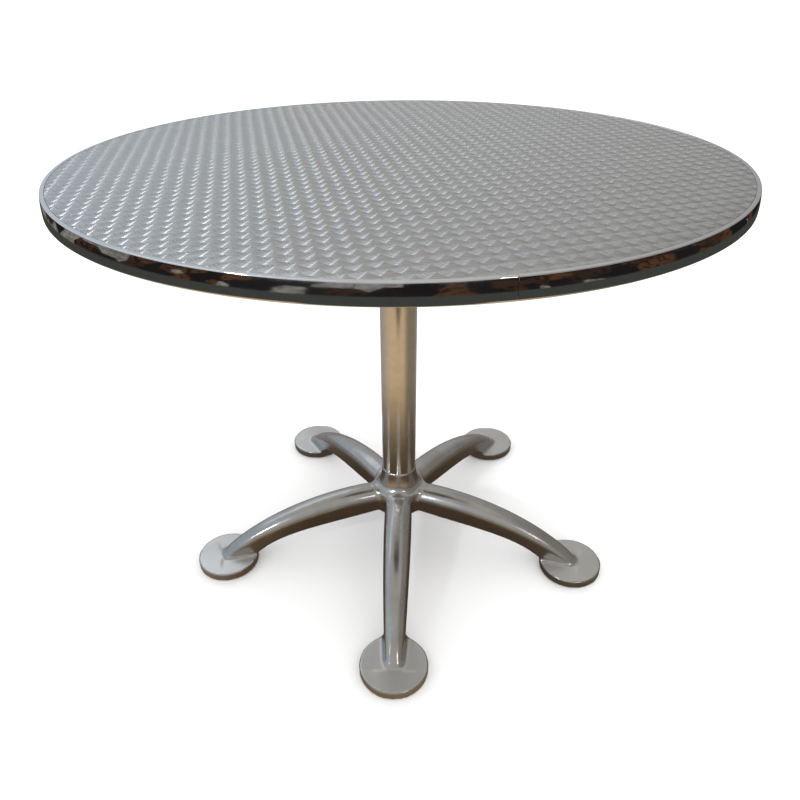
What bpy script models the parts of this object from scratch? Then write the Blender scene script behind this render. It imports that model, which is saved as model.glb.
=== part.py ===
"""Pedestal bistro table: round metal-skinned top on a column and a cast five-star base.

Units are metres, +Z is up and the floor is z = 0. The origin is on the floor under
the column's axis, and one leg of the base points along -Y.
"""
import math

import bmesh
import bpy
from mathutils import Matrix, Vector

# Driving dimensions ---------------------------------------------------------------
GAP = 0.0003                 # air left between pieces that touch

TABLE_HEIGHT = 0.745
TOP_RADIUS = 0.495
TOP_SEGMENTS = 72
TURN_SEGMENTS = 36
DRILL_SEGMENTS = 24
SMALL_SEGMENTS = 12
DRILL_TURN = 0.11            # keeps a hole's facets off the seams of the face it pierces
THROUGH = 0.010              # how far a cutter runs past the faces it opens
EDGE_CHAMFER = 0.0010
FINE_CHAMFER = 0.0004

BAND_HEIGHT = 0.024
BAND_WALL = 0.0020
LIP_WIDTH = 0.0076
LIP_THICKNESS = 0.0018
RETURN_WIDTH = 0.010
RETURN_THICKNESS = 0.0016
BAND_CHAMFER = 0.0006
SEAM_ANGLE = math.radians(-75.7)
SEAM_WIDTH = 0.0005

SHEET_THICKNESS = 0.0008
SHEET_DROP = 0.0003          # how far the skin lies below the lip
SHEET_EDGE_GAP = 0.0005      # groove between the skin's rim and the lip
LAMINATE_THICKNESS = 0.0008

JOINER_LENGTH = 0.040
JOINER_HEIGHT = 0.012
JOINER_THICKNESS = 0.0010
JOINER_STEPS = 8
JOINER_SLOT_PLAY = 0.001     # extra half angle of the joiner's slot, in radians

PLATE_RADIUS = 0.150
PLATE_THICKNESS = 0.005
SCREW_COUNT = 6
SCREW_CIRCLE = 0.120
SCREW_RADIUS = 0.0024
SCREW_HEAD_RADIUS = 0.0055
SCREW_HEAD_HEIGHT = 0.0034
SCREW_REACH = 0.021          # shank length above the plate's underside
SCREW_HOLE_PLAY = 0.0004
SCREW_HOLE_SPARE = 0.001
SCREW_POINT = 0.003
SCREW_SOCKET_FLATS = 0.003
SCREW_SOCKET_DEPTH = 0.002

COLUMN_RADIUS = 0.032
COLUMN_WALL = 0.002
PLUG_HEIGHT = 0.020

ROD_RADIUS = 0.006
ROD_HOLE_RADIUS = 0.0065
NUT_FLATS = 0.019
NUT_HEIGHT = 0.010
WASHER_RADIUS = 0.0175
WASHER_THICKNESS = 0.0025
POCKET_RADIUS = 0.019
POCKET_ROOF = 0.0035         # board left above the top nut's pocket
BASE_POCKET_ROOF = 0.113     # height of the face that the lower washer bears on
ROD_END = 0.004              # thread standing proud of the lower nut
ROD_TOP_END = 0.002          # and of the upper nut, inside its pocket
POCKET_SEGMENTS = 32

LEG_COUNT = 5
FOOT_CIRCLE = 0.351
FOOT_RADIUS = 0.0573
FOOT_BOTTOM = 0.0015
FOOT_TOP = 0.017
FOOT_WALL = 0.005
FOOT_PLATE = 0.0045
FOOT_EDGE = 0.0010
FOOT_SEGMENTS = 28

COLLAR_TOP = 0.160
COLLAR_RADIUS = 0.0335
HUB_RADIUS = 0.050
HUB_FLARE_FOOT = 0.116
HUB_BOTTOM = 0.076
SPIGOT_HEIGHT = 0.025
SPIGOT_CHAMFER = 0.002
HUB_CHAMFER = 0.006
FLARE_STEPS = 6

LEG_ROOT = 0.020             # the leg starts inside the hub
LEG_END = 0.367
LEG_NOSE = 0.343             # from here the leg's plan rounds off to its end
LEG_ROOT_HALF_WIDTH = 0.0262
LEG_TAPER = 0.0107
LEG_TAPER_START = 0.05
LEG_TAPER_LENGTH = 0.30
LEG_SHOULDER = 2.3           # superellipse power of the leg's rounded top
SHOULDER_SHARE = 0.9         # most of the leg's depth that its rounded top may take up
LEG_WALL = 0.0055
LEG_TOP_LINE = ((0.020, 0.1180), (0.150, 0.1295), (0.290, 0.0905), (0.367, 0.0160))
LEG_BOTTOM_LINE = ((0.020, 0.0800), (0.150, 0.0630), (0.250, 0.0675), (0.300, 0.0145))
CHANNEL_START = 0.068
CHANNEL_END = 0.288
CHANNEL_STEPS = 8
CHANNEL_DROP = 0.020         # how far the channel's core runs below the leg
LEG_STRAIGHT_STEPS = 10
LEG_NOSE_STEPS = 4
LEG_ARC_STEPS = 8
CHANNEL_ARC_STEPS = 6

PAD_RADIUS = 0.030
PAD_CROWN = 0.55             # share of the pad's radius that its raised middle takes up
PAD_HEIGHT = 0.006
PAD_SOCKET_RADIUS = 0.0033
PAD_SOCKET_DEPTH = 0.0040
STEM_SEGMENTS = 16
STEM_RADIUS = 0.004
STEM_HOLE_RADIUS = 0.0043
STEM_PIVOT_RADIUS = 0.0030
STEM_FLATS = 0.013
STEM_FLANGE = 0.0040
STEM_TOP = 0.0225
STEM_HOLE_TOP = 0.0235      # leaves a closed roof of metal over the stem

# Heights that follow from the driving dimensions ------------------------------------
BAND_BOTTOM = TABLE_HEIGHT - BAND_HEIGHT
SHEET_TOP = TABLE_HEIGHT - SHEET_DROP
SHEET_BOTTOM = SHEET_TOP - SHEET_THICKNESS
SHEET_RADIUS = TOP_RADIUS - LIP_WIDTH - SHEET_EDGE_GAP
LAMINATE_BOTTOM = BAND_BOTTOM + RETURN_THICKNESS + GAP
LAMINATE_TOP = LAMINATE_BOTTOM + LAMINATE_THICKNESS
CORE_BOTTOM = LAMINATE_TOP + GAP
CORE_TOP = SHEET_BOTTOM - GAP
CORE_RADIUS = TOP_RADIUS - BAND_WALL - GAP
PLATE_TOP = LAMINATE_BOTTOM - GAP
PLATE_BOTTOM = PLATE_TOP - PLATE_THICKNESS
COLUMN_TOP = PLATE_BOTTOM - GAP
COLUMN_BOTTOM = COLLAR_TOP + GAP
POCKET_TOP = CORE_TOP - POCKET_ROOF
FOOT_RECESS_TOP = FOOT_TOP - FOOT_PLATE


# Building helpers -------------------------------------------------------------------
def clear_scene():
    for old in list(bpy.data.objects):
        bpy.data.objects.remove(old, do_unlink=True)


def material(name, colour, roughness, metallic):
    made = bpy.data.materials.new(name)
    made.use_nodes = True
    shader = made.node_tree.nodes["Principled BSDF"]
    shader.inputs["Base Color"].default_value = (*colour, 1.0)
    shader.inputs["Roughness"].default_value = roughness
    shader.inputs["Metallic"].default_value = metallic
    return made


def finish_object(name, bm, look):
    """Turn a bmesh into a smooth-shaded object with its faces pointing out."""
    bmesh.ops.remove_doubles(bm, verts=bm.verts, dist=1e-6)
    bmesh.ops.recalc_face_normals(bm, faces=bm.faces)
    mesh = bpy.data.meshes.new(name)
    bm.to_mesh(mesh)
    bm.free()
    mesh.shade_smooth()
    mesh.set_sharp_from_angle(angle=math.radians(35))
    if look:
        mesh.materials.append(look)
    made = bpy.data.objects.new(name, mesh)
    bpy.context.collection.objects.link(made)
    return made


def turned(name, profile, look, segments=TURN_SEGMENTS, closed=True):
    """Spin an outline of (radius, height) points about +Z.

    A closed outline makes a ring; an open one starts and ends on the axis.
    """
    bm = bmesh.new()
    verts = [bm.verts.new((radius, 0.0, height)) for radius, height in profile]
    edges = [bm.edges.new(pair) for pair in zip(verts, verts[1:])]
    if closed:
        edges.append(bm.edges.new((verts[-1], verts[0])))
    bmesh.ops.spin(bm, geom=verts + edges, cent=(0, 0, 0), axis=(0, 0, 1),
                   angle=2 * math.pi, steps=segments, use_merge=True)
    return finish_object(name, bm, look)


def rim_profile(radius, low, high, chamfer):
    """Outer side of a ring or disc, with both of its corners chamfered."""
    if not chamfer:
        return [(radius, low), (radius, high)]
    return [(radius - chamfer, low), (radius, low + chamfer),
            (radius, high - chamfer), (radius - chamfer, high)]


def tube_profile(inner, outer, low, high, chamfer=0.0):
    """Closed outline of a ring."""
    return [(inner, low)] + rim_profile(outer, low, high, chamfer) + [(inner, high)]


def disc_profile(radius, low, high, chamfer=0.0):
    """Open outline of a solid disc, from the axis to the axis."""
    return [(0.0, low)] + rim_profile(radius, low, high, chamfer) + [(0.0, high)]


def bridged(name, loops, look):
    """Bridge a row of point loops and cap its two ends."""
    bm = bmesh.new()
    rings = []
    for loop in loops:
        verts = [bm.verts.new(point) for point in loop]
        rings.append([bm.edges.new((verts[i], verts[(i + 1) % len(verts)]))
                      for i in range(len(verts))])
    for near, far in zip(rings, rings[1:]):
        bmesh.ops.bridge_loops(bm, edges=near + far)
    for ring in (rings[0], rings[-1]):
        bmesh.ops.contextual_create(bm, geom=ring)
    return finish_object(name, bm, look)


def prism(name, flats, low, high, look):
    """Upright hexagonal bar, measured across its flats."""
    bm = bmesh.new()
    bmesh.ops.create_cone(bm, cap_ends=True, segments=6, radius1=flats / math.sqrt(3),
                          radius2=flats / math.sqrt(3), depth=high - low,
                          matrix=Matrix.Translation((0, 0, (low + high) / 2)))
    return finish_object(name, bm, look)


def as_cutter(tool):
    tool.hide_render = True
    tool.display_type = "WIRE"
    return tool


def combine(body, operation, tool):
    """Add a live Boolean that joins a helper shape to a body or cuts it away."""
    step = body.modifiers.new(f"{operation.lower()}_{tool.name}", "BOOLEAN")
    step.operation = operation
    step.solver = "EXACT"
    step.object = as_cutter(tool)


def drill(body, radius, low, high, spot=(0.0, 0.0), segments=DRILL_SEGMENTS):
    """Cut a round upright hole."""
    tool = turned(f"{body.name}_drill", disc_profile(radius, low, high), None, segments, closed=False)
    tool.location = (*spot, 0.0)
    tool.rotation_euler.z = DRILL_TURN
    combine(body, "DIFFERENCE", tool)


def around(count, radius, start=-math.pi / 2):
    """Evenly spaced (angle, x, y) places on a circle, the first one on -Y."""
    for index in range(count):
        angle = start + 2 * math.pi * index / count
        yield angle, radius * math.cos(angle), radius * math.sin(angle)


def bezier(points, share):
    """Point of a cubic Bezier curve in the (radius, height) plane."""
    weights = ((1 - share) ** 3, 3 * share * (1 - share) ** 2, 3 * share ** 2 * (1 - share), share ** 3)
    return tuple(sum(w * p[axis] for w, p in zip(weights, points)) for axis in (0, 1))


def line_height(points, radius):
    """Height of a Bezier line above a given radius, found by halving."""
    low, high = 0.0, 1.0
    for _ in range(40):
        middle = (low + high) / 2
        if bezier(points, middle)[0] < radius:
            low = middle
        else:
            high = middle
    return bezier(points, low)[1]


# Top --------------------------------------------------------------------------------
def make_top_sheet(look):
    return turned("top_sheet", disc_profile(SHEET_RADIUS, SHEET_BOTTOM, SHEET_TOP), look,
                  TOP_SEGMENTS, closed=False)


def make_edge_band(look):
    """Bent C-section: flush lip, upright face and a short return under the board."""
    outer = TOP_RADIUS
    inner = TOP_RADIUS - BAND_WALL
    lip = TOP_RADIUS - LIP_WIDTH
    fold = TOP_RADIUS - RETURN_WIDTH
    rim = rim_profile(outer, BAND_BOTTOM, TABLE_HEIGHT, BAND_CHAMFER)
    section = [(lip, TABLE_HEIGHT)] + rim[::-1] + [
               (fold, BAND_BOTTOM),
               (fold, BAND_BOTTOM + RETURN_THICKNESS), (inner, BAND_BOTTOM + RETURN_THICKNESS),
               (inner, TABLE_HEIGHT - LIP_THICKNESS), (lip, TABLE_HEIGHT - LIP_THICKNESS)]
    half_slit = SEAM_WIDTH / 2 / TOP_RADIUS
    step = 2 * math.pi / TOP_SEGMENTS
    first = SEAM_ANGLE + half_slit
    last = SEAM_ANGLE + 2 * math.pi - half_slit
    grid = [step * index for index in range(-TOP_SEGMENTS, TOP_SEGMENTS * 2)]
    turns = [first] + [a for a in grid if first + step / 8 < a < last - step / 8] + [last]
    loops = [[Vector((r * math.cos(a), r * math.sin(a), z)) for r, z in section] for a in turns]
    return bridged("edge_band", loops, look)


def joiner_loops(inner, outer, low, high, half_angle):
    """Short curved strip behind the band's joint."""
    turns = [SEAM_ANGLE + half_angle * (2 * i / JOINER_STEPS - 1) for i in range(JOINER_STEPS + 1)]
    section = ((inner, low), (outer, low), (outer, high), (inner, high))
    return [[Vector((r * math.cos(a), r * math.sin(a), z)) for r, z in section] for a in turns]


def make_band_joiner(look):
    outer = TOP_RADIUS - BAND_WALL - 2 * GAP
    middle = (CORE_BOTTOM + CORE_TOP) / 2
    half_angle = JOINER_LENGTH / 2 / outer
    loops = joiner_loops(outer - JOINER_THICKNESS, outer, middle - JOINER_HEIGHT / 2,
                         middle + JOINER_HEIGHT / 2, half_angle)
    return bridged("band_joiner", loops, look)


def make_top_core(look):
    """Board with a rebate for the lip, a slot for the joiner and holes from below."""
    rebate = TOP_RADIUS - LIP_WIDTH - GAP
    shelf = TABLE_HEIGHT - LIP_THICKNESS - GAP
    outline = [(0.0, CORE_BOTTOM), (CORE_RADIUS, CORE_BOTTOM), (CORE_RADIUS, shelf),
               (rebate, shelf), (rebate, CORE_TOP), (0.0, CORE_TOP)]
    core = turned("top_core", outline, look, TOP_SEGMENTS, closed=False)
    drill(core, POCKET_RADIUS, CORE_BOTTOM - THROUGH, POCKET_TOP, segments=POCKET_SEGMENTS)
    for _, x, y in around(SCREW_COUNT, SCREW_CIRCLE):
        drill(core, SCREW_RADIUS + GAP, CORE_BOTTOM - THROUGH, PLATE_BOTTOM + SCREW_REACH + SCREW_HOLE_SPARE,
              (x, y), SMALL_SEGMENTS)
    middle = (CORE_BOTTOM + CORE_TOP) / 2
    slot_inner = TOP_RADIUS - BAND_WALL - 2 * GAP - JOINER_THICKNESS - GAP
    slot = bridged("joiner_slot", joiner_loops(
        slot_inner, TOP_RADIUS, middle - JOINER_HEIGHT / 2 - GAP, middle + JOINER_HEIGHT / 2 + GAP,
        JOINER_LENGTH / 2 / CORE_RADIUS + JOINER_SLOT_PLAY), None)
    combine(core, "DIFFERENCE", slot)
    return core


def make_backing_sheet(look):
    sheet = turned("backing_sheet", disc_profile(CORE_RADIUS, LAMINATE_BOTTOM, LAMINATE_TOP), look,
                   TOP_SEGMENTS, closed=False)
    low, high = LAMINATE_BOTTOM - THROUGH, LAMINATE_TOP + THROUGH
    drill(sheet, POCKET_RADIUS, low, high, segments=POCKET_SEGMENTS)
    for _, x, y in around(SCREW_COUNT, SCREW_CIRCLE):
        drill(sheet, SCREW_RADIUS + GAP, low, high, (x, y), SMALL_SEGMENTS)
    return sheet


# Mounting hardware --------------------------------------------------------------------
def make_mounting_plate(look):
    outline = tube_profile(ROD_HOLE_RADIUS, PLATE_RADIUS, PLATE_BOTTOM, PLATE_TOP, EDGE_CHAMFER)
    plate = turned("mounting_plate", outline, look)
    for _, x, y in around(SCREW_COUNT, SCREW_CIRCLE):
        drill(plate, SCREW_RADIUS + SCREW_HOLE_PLAY, PLATE_BOTTOM - THROUGH, PLATE_TOP + THROUGH,
              (x, y), SMALL_SEGMENTS)
    return plate


def make_plate_screws(look):
    """Pan-head screws with a hexagon socket, driven up into the board."""
    head_top = PLATE_BOTTOM - GAP
    head_low = head_top - SCREW_HEAD_HEIGHT
    tip = PLATE_BOTTOM + SCREW_REACH
    head = [(share * SCREW_HEAD_RADIUS, head_low + rise * SCREW_HEAD_HEIGHT)
            for share, rise in ((0.0, 0.0), (0.7, 0.0), (0.95, 0.35), (1.0, 0.7), (1.0, 1.0))]
    outline = head + [(SCREW_RADIUS, head_top), (SCREW_RADIUS, tip - SCREW_POINT),
                      (SCREW_RADIUS * 0.3, tip), (0.0, tip)]
    for index, (_, x, y) in enumerate(around(SCREW_COUNT, SCREW_CIRCLE), start=1):
        screw = turned(f"plate_screw_{index}", outline, look, SMALL_SEGMENTS, closed=False)
        socket = prism(f"screw_socket_{index}", SCREW_SOCKET_FLATS, head_low - SCREW_SOCKET_DEPTH,
                       head_low + SCREW_SOCKET_DEPTH, None)
        screw.location = (x, y, 0.0)
        socket.location = (x, y, 0.0)
        combine(screw, "DIFFERENCE", socket)


def make_column_tube(look):
    outline = tube_profile(COLUMN_RADIUS - COLUMN_WALL, COLUMN_RADIUS, COLUMN_BOTTOM, COLUMN_TOP,
                           FINE_CHAMFER)
    return turned("column_tube", outline, look)


def make_column_plug(look):
    """Turned centring plug inside the column's upper end."""
    radius = COLUMN_RADIUS - COLUMN_WALL - GAP
    outline = tube_profile(ROD_HOLE_RADIUS, radius, COLUMN_TOP - PLUG_HEIGHT, COLUMN_TOP, EDGE_CHAMFER)
    return turned("column_plug", outline, look)


def make_tie_rod(look):
    low = BASE_POCKET_ROOF - WASHER_THICKNESS - NUT_HEIGHT - 2 * GAP - ROD_END
    high = PLATE_TOP + WASHER_THICKNESS + NUT_HEIGHT + 2 * GAP + ROD_TOP_END
    return turned("tie_rod", disc_profile(ROD_RADIUS, low, high, EDGE_CHAMFER), look, DRILL_SEGMENTS,
                  closed=False)


def make_nut(name, low, look):
    nut = prism(name, NUT_FLATS, low, low + NUT_HEIGHT, look)
    drill(nut, ROD_RADIUS + GAP, low - THROUGH, low + NUT_HEIGHT + THROUGH)
    return nut


def make_washer(name, low, look):
    outline = tube_profile(ROD_RADIUS + GAP, WASHER_RADIUS, low, low + WASHER_THICKNESS, FINE_CHAMFER)
    return turned(name, outline, look, DRILL_SEGMENTS)


# Cast base ------------------------------------------------------------------------------
def leg_half_width(radius):
    """Half width of a leg in plan, tapering to the foot and rounded at its end."""
    share = max(0.0, (radius - LEG_TAPER_START) / LEG_TAPER_LENGTH)
    width = LEG_ROOT_HALF_WIDTH - LEG_TAPER * share ** 2
    if radius > LEG_NOSE:
        along = (radius - LEG_NOSE) / (LEG_END - LEG_NOSE)
        width *= math.sqrt(max(0.0, 1 - along ** 2))
    return width


def leg_bottom(radius):
    if radius < LEG_BOTTOM_LINE[-1][0]:
        return line_height(LEG_BOTTOM_LINE, radius)
    return LEG_BOTTOM_LINE[-1][1]


def leg_section(radius, inset, drop, arc_steps):
    """Inverted U across a leg: straight sides under a superellipse shoulder."""
    half = leg_half_width(radius) - inset
    top = line_height(LEG_TOP_LINE, radius) - inset
    low = leg_bottom(radius) - drop
    rise = min(half, SHOULDER_SHARE * (top - low))
    points = [Vector((radius, half, low))]
    for index in range(arc_steps + 1):
        angle = math.pi * index / arc_steps
        side = math.copysign(abs(math.cos(angle)) ** (2 / LEG_SHOULDER), math.cos(angle))
        lift = math.sin(angle) ** (2 / LEG_SHOULDER) if 0 < index < arc_steps else 0.0
        points.append(Vector((radius, half * side, top - rise + rise * lift)))
    points.append(Vector((radius, -half, low)))
    return points


def leg_stations():
    """Radii of the leg's sections, close together round its nose."""
    straight = [LEG_ROOT + (LEG_NOSE - LEG_ROOT) * i / LEG_STRAIGHT_STEPS
                for i in range(LEG_STRAIGHT_STEPS + 1)]
    nose = [LEG_NOSE + (LEG_END - LEG_NOSE) * math.sin(math.pi / 2 * i / LEG_NOSE_STEPS)
            for i in range(1, LEG_NOSE_STEPS)]
    return straight + nose + [LEG_END - FINE_CHAMFER]


def make_base_casting(look):
    """Hub, legs and foot discs in one casting, cored out from below."""
    flare = [(HUB_RADIUS - (HUB_RADIUS - COLLAR_RADIUS) * math.cos(a),
              COLLAR_TOP - (COLLAR_TOP - HUB_FLARE_FOOT) * math.sin(a))
             for a in (math.pi / 2 * i / FLARE_STEPS for i in range(FLARE_STEPS + 1))]
    spigot = COLUMN_RADIUS - COLUMN_WALL - GAP
    outline = [(ROD_HOLE_RADIUS, COLLAR_TOP + SPIGOT_HEIGHT), (ROD_HOLE_RADIUS, BASE_POCKET_ROOF),
               (POCKET_RADIUS, BASE_POCKET_ROOF), (POCKET_RADIUS, HUB_BOTTOM),
               (HUB_RADIUS - HUB_CHAMFER, HUB_BOTTOM), (HUB_RADIUS, HUB_BOTTOM + HUB_CHAMFER)]
    outline += flare[::-1] + [(spigot, COLLAR_TOP), (spigot, COLLAR_TOP + SPIGOT_HEIGHT - SPIGOT_CHAMFER),
                              (spigot - SPIGOT_CHAMFER, COLLAR_TOP + SPIGOT_HEIGHT)]
    casting = turned("base_casting", outline, look, POCKET_SEGMENTS)
    disc = [(0.0, FOOT_RECESS_TOP), (FOOT_RADIUS - FOOT_WALL, FOOT_RECESS_TOP),
            (FOOT_RADIUS - FOOT_WALL, FOOT_BOTTOM), (FOOT_RADIUS, FOOT_BOTTOM),
            (FOOT_RADIUS, FOOT_TOP - FOOT_EDGE),
            (FOOT_RADIUS - FOOT_EDGE, FOOT_TOP), (0.0, FOOT_TOP)]
    channel = [CHANNEL_START + (CHANNEL_END - CHANNEL_START) * i / CHANNEL_STEPS
               for i in range(CHANNEL_STEPS + 1)]
    for index, (angle, x, y) in enumerate(around(LEG_COUNT, FOOT_CIRCLE), start=1):
        sections = [leg_section(r, 0.0, 0.0, LEG_ARC_STEPS) for r in leg_stations()]
        leg = bridged(f"leg_solid_{index}", sections, None)
        leg.rotation_euler.z = angle
        combine(casting, "UNION", leg)
        foot = turned(f"foot_solid_{index}", disc, None, FOOT_SEGMENTS, closed=False)
        foot.location = (x, y, 0.0)
        combine(casting, "UNION", foot)
    for index, (angle, x, y) in enumerate(around(LEG_COUNT, FOOT_CIRCLE), start=1):
        sections = [leg_section(r, LEG_WALL, CHANNEL_DROP, CHANNEL_ARC_STEPS) for r in channel]
        core = bridged(f"channel_{index}", sections, None)
        core.rotation_euler.z = angle
        combine(casting, "DIFFERENCE", core)
        drill(casting, STEM_HOLE_RADIUS, FOOT_RECESS_TOP - FOOT_PLATE, STEM_HOLE_TOP, (x, y),
              STEM_SEGMENTS)
    return casting


# Levelling glides -------------------------------------------------------------------------
def make_glide_pad(index, x, y, look):
    """Nylon pad with a socket for the stem's pivot."""
    socket = PAD_HEIGHT - PAD_SOCKET_DEPTH
    outline = [(0.0, 0.0), (PAD_RADIUS - EDGE_CHAMFER, 0.0), (PAD_RADIUS, EDGE_CHAMFER),
               (PAD_RADIUS, PAD_HEIGHT / 2), (PAD_RADIUS * PAD_CROWN, PAD_HEIGHT),
               (PAD_SOCKET_RADIUS, PAD_HEIGHT), (PAD_SOCKET_RADIUS, socket), (0.0, socket)]
    pad = turned(f"glide_pad_{index}", outline, look, DRILL_SEGMENTS, closed=False)
    pad.location = (x, y, 0.0)
    return pad


def make_glide_stem(index, x, y, look):
    """Threaded stem with a hexagon flange and a plain pivot end."""
    flange_low = PAD_HEIGHT + GAP
    flange_high = flange_low + STEM_FLANGE
    pivot = PAD_HEIGHT - PAD_SOCKET_DEPTH + GAP
    outline = [(0.0, pivot), (STEM_PIVOT_RADIUS, pivot), (STEM_PIVOT_RADIUS, flange_low + EDGE_CHAMFER),
               (STEM_RADIUS, flange_high - EDGE_CHAMFER), (STEM_RADIUS, STEM_TOP - EDGE_CHAMFER),
               (STEM_RADIUS - EDGE_CHAMFER, STEM_TOP), (0.0, STEM_TOP)]
    stem = turned(f"glide_stem_{index}", outline, look, STEM_SEGMENTS, closed=False)
    flange = prism(f"stem_flange_{index}", STEM_FLATS, flange_low, flange_high, None)
    combine(stem, "UNION", flange)
    stem.location = (x, y, 0.0)
    flange.location = (x, y, 0.0)
    return stem


def main():
    clear_scene()
    swirl_steel = material("swirl_steel", (0.55, 0.56, 0.56), 0.30, 1.0)
    board = material("board", (0.45, 0.33, 0.20), 0.80, 0.0)
    laminate = material("laminate", (0.50, 0.49, 0.47), 0.60, 0.0)
    polished_band = material("polished_band", (0.80, 0.82, 0.84), 0.06, 1.0)
    polished_tube = material("polished_tube", (0.76, 0.75, 0.73), 0.10, 1.0)
    polished_cast = material("polished_cast", (0.74, 0.74, 0.74), 0.14, 1.0)
    black_steel = material("black_steel", (0.05, 0.05, 0.05), 0.50, 0.0)
    zinc = material("zinc_plated_steel", (0.62, 0.63, 0.62), 0.35, 1.0)
    mill_aluminium = material("mill_aluminium", (0.66, 0.67, 0.68), 0.40, 1.0)
    nylon = material("nylon", (0.04, 0.04, 0.045), 0.55, 0.0)

    make_top_sheet(swirl_steel)
    make_edge_band(polished_band)
    make_band_joiner(mill_aluminium)
    make_top_core(board)
    make_backing_sheet(laminate)
    make_mounting_plate(black_steel)
    make_plate_screws(zinc)
    make_column_tube(polished_tube)
    make_column_plug(mill_aluminium)
    make_tie_rod(zinc)
    make_washer("top_washer", PLATE_TOP + GAP, zinc)
    make_nut("top_nut", PLATE_TOP + WASHER_THICKNESS + 2 * GAP, zinc)
    base_washer_low = BASE_POCKET_ROOF - GAP - WASHER_THICKNESS
    make_washer("base_washer", base_washer_low, zinc)
    make_nut("base_nut", base_washer_low - GAP - NUT_HEIGHT, zinc)
    make_base_casting(polished_cast)
    for index, (_, x, y) in enumerate(around(LEG_COUNT, FOOT_CIRCLE), start=1):
        make_glide_pad(index, x, y, nylon)
        make_glide_stem(index, x, y, zinc)


main()
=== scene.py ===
"""Looks of the pedestal bistro table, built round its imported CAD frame.

Units are metres and +Z is up. The floor is z = 0 and the column's axis is the Z axis.
One leg of the base points along -Y, which is the side the camera stands on.
"""
import math

import bmesh
import bpy
import numpy as np
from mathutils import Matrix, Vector


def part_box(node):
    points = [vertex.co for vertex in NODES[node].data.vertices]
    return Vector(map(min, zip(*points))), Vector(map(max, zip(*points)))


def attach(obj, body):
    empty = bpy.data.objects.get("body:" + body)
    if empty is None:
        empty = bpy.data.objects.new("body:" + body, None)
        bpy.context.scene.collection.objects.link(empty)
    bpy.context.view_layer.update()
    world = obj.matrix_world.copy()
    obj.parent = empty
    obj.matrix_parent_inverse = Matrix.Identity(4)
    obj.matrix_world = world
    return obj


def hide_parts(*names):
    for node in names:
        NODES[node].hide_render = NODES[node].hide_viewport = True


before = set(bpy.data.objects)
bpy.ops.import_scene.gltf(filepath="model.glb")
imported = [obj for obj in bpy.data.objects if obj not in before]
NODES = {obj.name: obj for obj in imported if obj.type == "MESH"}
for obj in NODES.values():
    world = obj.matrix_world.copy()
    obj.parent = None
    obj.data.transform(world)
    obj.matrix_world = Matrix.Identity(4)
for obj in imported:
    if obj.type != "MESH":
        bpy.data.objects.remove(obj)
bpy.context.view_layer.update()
TABLE_BODY = "table"

# Sizes read from the frame --------------------------------------------------------------------
BAND_LOW, BAND_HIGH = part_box("edge_band")
SHEET_LOW, SHEET_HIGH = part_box("top_sheet")
TUBE_LOW, TUBE_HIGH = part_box("column_tube")
PLATE_LOW, PLATE_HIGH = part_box("mounting_plate")
ROD_LOW, ROD_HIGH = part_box("tie_rod")

TOP_RADIUS = BAND_HIGH.x
SHEET_RADIUS = SHEET_HIGH.x
COLUMN_RADIUS = TUBE_HIGH.x
PLATE_RADIUS = PLATE_HIGH.x

# Rim band: a C-section bent round the board ---------------------------------------------------
BAND_WALL = 0.0020
BAND_LIP = 0.0076
BAND_LIP_THICKNESS = 0.0018
BAND_RETURN = 0.010
BAND_RETURN_THICKNESS = 0.0016
BAND_CORNER = 0.0012
BAND_TILT_LOW = math.radians(-1.0)    # the face is nearly upright at its foot
BAND_TILT_HIGH = math.radians(11.5)   # and rolls over towards the lip
BAND_FACE_STEPS = 12
BAND_ARRIS = 0.0003
BAND_SEAM_ANGLE = math.radians(-75.7)
BAND_SEAM = 0.0005
ROUND_STEPS = 288

# Column, screws, nuts and glides --------------------------------------------------------------
COLUMN_WALL = 0.002
COLUMN_EDGE = 0.0005
PLATE_EDGE = 0.0012
SCREW_COUNT = 6
SCREW_CIRCLE = 0.120
SCREW_HOLE_RADIUS = 0.0028
SCREW_SHANK_RADIUS = 0.0024
SCREW_HEAD_RADIUS = 0.0055
SCREW_HEAD_GAP = 0.0003
SCREW_HEAD_RIM = 0.0006
SCREW_SOCKET = 0.0018
SCREW_SOCKET_DEPTH = 0.0040
SCREW_POINT = 0.003
ROD_PITCH = 0.00175
ROD_THREAD = 0.0009
NUT_CLEARANCE = 0.0003
HEX_CHAMFER = 0.475
STEM_RADIUS = 0.004
STEM_PITCH = 0.00125
STEM_THREAD = 0.0006
STEM_PIVOT = 0.0030
STEM_FLATS = 0.013
STEM_FLANGE = 0.004
FLANGE_CHAMFER = 0.0008
PAD_EDGE = 0.0012
PAD_WELL_RADIUS = 0.0033
PAD_WELL_DEPTH = 0.0040
PAD_GAP = 0.0003
THREAD_ROWS = 6    # rows of faces to each turn of a thread

# Engine turning: overlapping brushed spots on a lattice ---------------------------------------
SPOT_ROW_ANGLE = math.radians(19.0)
SPOT_ROW = 0.02060 * Vector((math.cos(SPOT_ROW_ANGLE), math.sin(SPOT_ROW_ANGLE), 0.0))
SPOT_COLUMN_ANGLE = math.radians(103.4)
SPOT_COLUMN = 0.02090 * Vector((math.cos(SPOT_COLUMN_ANGLE), math.sin(SPOT_COLUMN_ANGLE), 0.0))
SPOT_RADIUS = 0.0203
SPOT_JITTER = 0.0005
SPOT_RINGS = 230.0      # brushing noise, in cycles per metre
GRAIN_SHADE = 0.895     # the darker streaks of hand-polished metal, as a share of its colour

# Cast base ------------------------------------------------------------------------------------
LEG_COUNT = 5
FOOT_CIRCLE = 0.351
FOOT_RADIUS = 0.0573
FOOT_BOTTOM = 0.0015
FOOT_TOP = 0.017
FOOT_WALL = 0.005
FOOT_RECESS_TOP = 0.0125
FOOT_EDGE = 0.0014
STEM_HOLE_RADIUS = 0.0043
STEM_HOLE_TOP = 0.0235

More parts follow.
